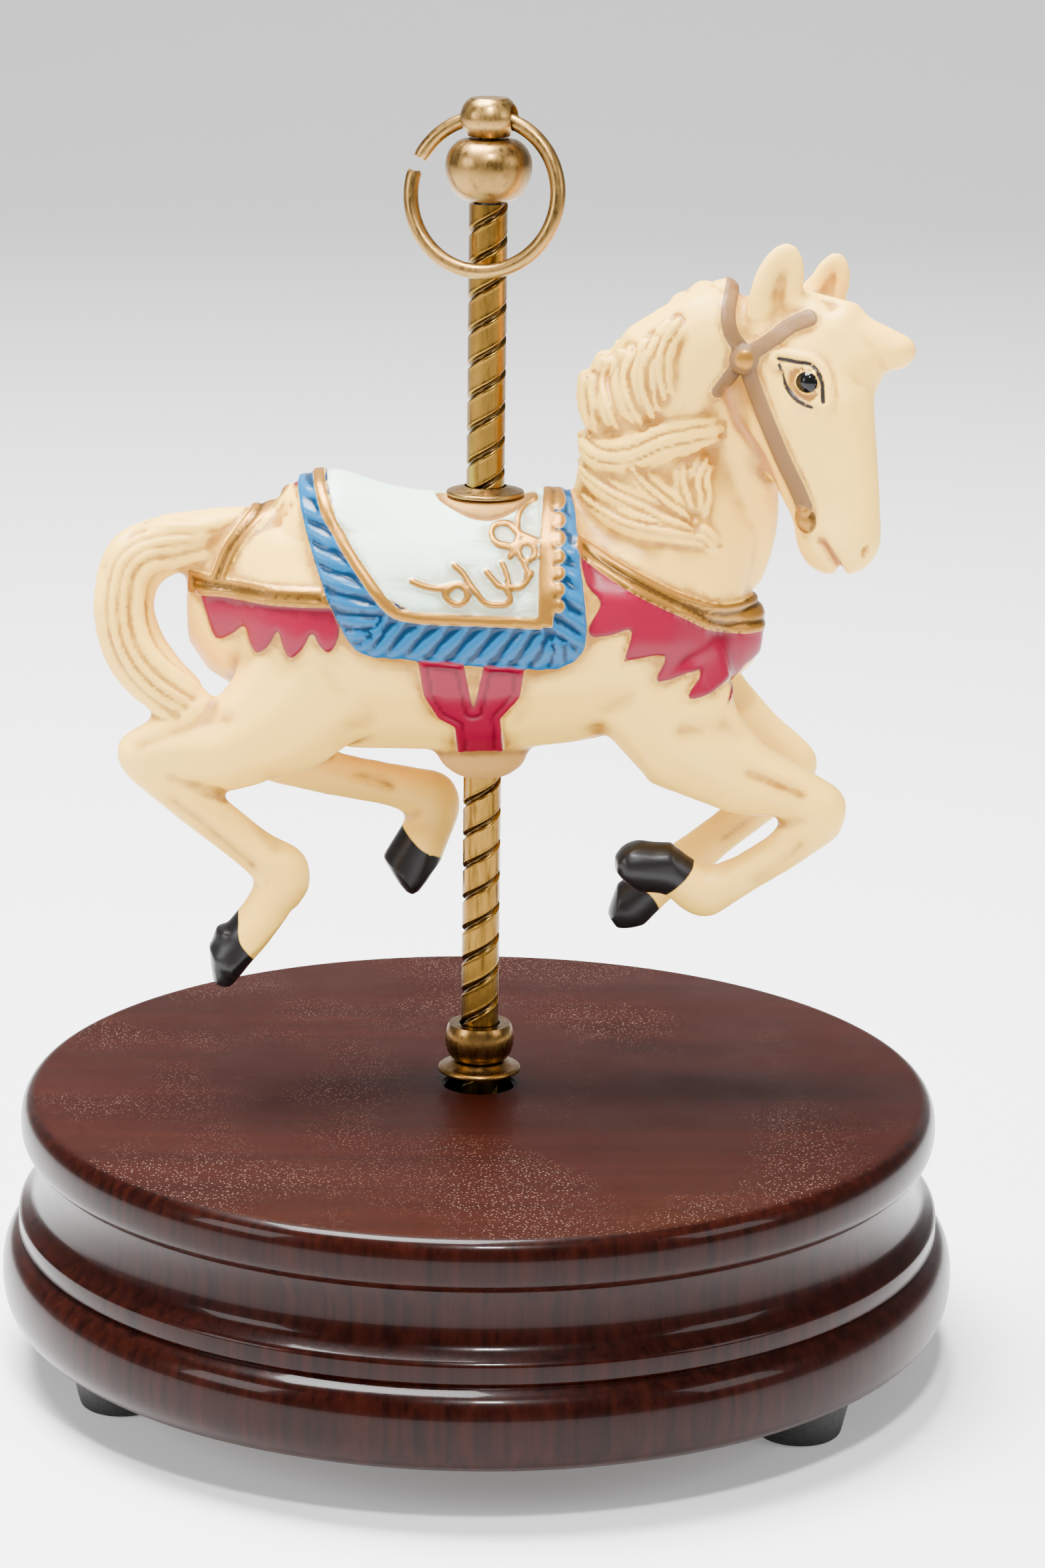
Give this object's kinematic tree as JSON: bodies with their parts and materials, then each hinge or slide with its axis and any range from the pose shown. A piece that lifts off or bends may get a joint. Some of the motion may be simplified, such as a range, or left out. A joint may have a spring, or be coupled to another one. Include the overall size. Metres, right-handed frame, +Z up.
{
  "type": "carousel music box",
  "caption": "Glazed prancing horse on a brass pole over a round turned wooden base that hides a spring music movement turning the horse.",
  "frame": {"origin": "on the table, at the feet's bottoms, on the pole's axis", "axes": "+Z up along the pole, +X the way the horse faces, -Y the horse's near side"},
  "size_m": [0.1636, 0.1636, 0.2161],
  "materials": {
    "dark_wood": "gloss lacquer",
    "hardboard": "matte",
    "black_rubber": "matte",
    "glazed_ceramic": "satin glaze with painted tack",
    "antique_brass": "satin, aged",
    "polished_brass": "polished",
    "dark_brass": "polished, darkened",
    "steel": "satin",
    "cast_zinc": "as cast"
  },
  "bodies": {
    "base": {"wood_top": "dark_wood", "wood_ring": "dark_wood", "bottom_cover": "hardboard", "foot_1": "black_rubber", "foot_2": "black_rubber", "foot_3": "black_rubber", "foot_screw_1": "steel", "foot_screw_2": "steel", "foot_screw_3": "steel", "cover_screw_1": "steel", "cover_screw_2": "steel", "cover_screw_3": "steel", "pole_bearing": "cast_zinc", "bearing_screw_1": "steel", "bearing_screw_2": "steel", "bearing_screw_3": "steel", "movement_bedplate": "cast_zinc", "comb_block": "cast_zinc", "music_comb": "steel", "governor_bridge": "cast_zinc", "support_post_1": "steel", "support_post_2": "steel", "support_post_3": "steel", "movement_screw_1": "steel", "movement_screw_2": "steel", "movement_screw_3": "steel", "comb_screw_1": "steel", "comb_screw_2": "steel"},
    "click": {"ratchet_click": "steel"},
    "carousel": {"mainspring_barrel": "polished_brass", "mainspring": "steel", "barrel_lid": "polished_brass", "drive_spindle": "steel", "thrust_pin_right": "steel", "thrust_pin_left": "steel", "spindle_sleeve": "steel", "lower_pole": "polished_brass", "core_rod": "steel", "lower_collar": "dark_brass", "lower_bead": "dark_brass", "carousel_horse": "glazed_ceramic", "top_flange": "antique_brass", "upper_pole": "polished_brass", "finial_ball": "antique_brass", "finial_cap": "antique_brass"},
    "cylinder": {"cylinder_arbor": "steel", "cylinder_pinion": "polished_brass", "pin_cylinder": "polished_brass", "cylinder_wheel": "polished_brass"},
    "fly_train": {"fly_arbor": "steel", "fly_pinion": "steel", "worm_wheel": "polished_brass"},
    "governor": {"governor_worm": "steel", "governor_fan": "steel"},
    "winder": {"winding_arbor": "steel", "ratchet_wheel": "steel", "winding_key": "polished_brass"},
    "ring": {"brass_ring": "antique_brass"}
  },
  "joints": [
    {"name": "carousel_turn", "type": "hinge", "parent": "base", "child": "carousel", "pos_m": [0, 0, 0.02], "axis": [0, 0, 1], "continuous": true},
    {"name": "ring_swing", "type": "hinge", "parent": "carousel", "child": "ring", "pos_m": [0, 0, 0.213], "axis": [-0.9511, 0.309, 0], "range_deg": [0, 338]},
    {"name": "cylinder_turn", "type": "hinge", "parent": "base", "child": "cylinder", "pos_m": [0.029, 0, 0.023], "axis": [1, 0, 0], "continuous": true},
    {"name": "fly_train_turn", "type": "hinge", "parent": "base", "child": "fly_train", "pos_m": [0.0434, -0.01, 0.023], "axis": [1, 0, 0], "continuous": true},
    {"name": "governor_spin", "type": "hinge", "parent": "base", "child": "governor", "pos_m": [0.0434, -0.017, 0.023], "axis": [0, 0, 1], "continuous": true},
    {"name": "key_wind", "type": "hinge", "parent": "base", "child": "winder", "pos_m": [0, 0, 0.01], "axis": [0, 0, 1], "continuous": true},
    {"name": "click_lift", "type": "hinge", "parent": "base", "child": "click", "pos_m": [-0.00804, -0.00675, 0.0131], "axis": [0, 0, -1], "range_deg": [0, 12], "stiffness_Nm_per_rad": 0.0005, "springref_deg": -11.46}
  ],
  "couplings": [
    {"joint": "cylinder_turn", "follows": "carousel_turn", "ratio": 4},
    {"joint": "fly_train_turn", "follows": "carousel_turn", "ratio": -16},
    {"joint": "governor_spin", "follows": "carousel_turn", "ratio": -240}
  ]
}
